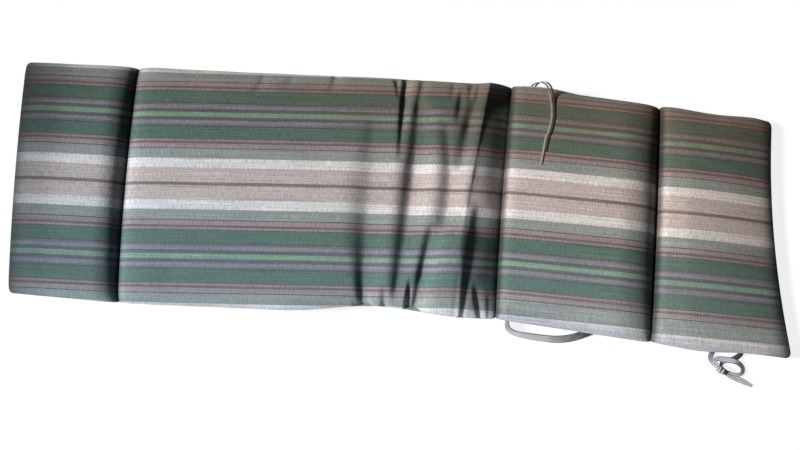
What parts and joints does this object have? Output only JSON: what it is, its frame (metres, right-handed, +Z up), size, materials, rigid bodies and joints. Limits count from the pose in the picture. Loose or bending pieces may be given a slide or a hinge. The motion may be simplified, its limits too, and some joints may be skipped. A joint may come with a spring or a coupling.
{
  "type": "lounge chair cushion",
  "caption": "Long striped lounger cushion lying face up, its filled sections parted by sewn channels, with a strap loop and sewn ties along its edges.",
  "frame": {"origin": "on the floor, under the middle of the box of the cushion and its strap loop", "axes": "+X along the length towards the foot section, +Y towards the back edge, +Z up out of the face"},
  "size_m": [1.87, 0.6894, 0.061],
  "materials": {
    "striped_cloth": "woven cloth in lengthwise stripes of green, off-white, beige and grey",
    "tie_cloth": "the same woven cloth, folded and stitched to narrow tapes"
  },
  "bodies": {
    "root": {"cushion": "striped_cloth", "strap_loop": "tie_cloth", "tie_back_long": "tie_cloth", "tie_back_short": "tie_cloth", "tie_front_left": "tie_cloth", "tie_front_right": "tie_cloth", "tie_front_loop": "tie_cloth", "tie_front_tail": "tie_cloth", "tie_front_knot": "tie_cloth"}
  },
  "joints": []
}
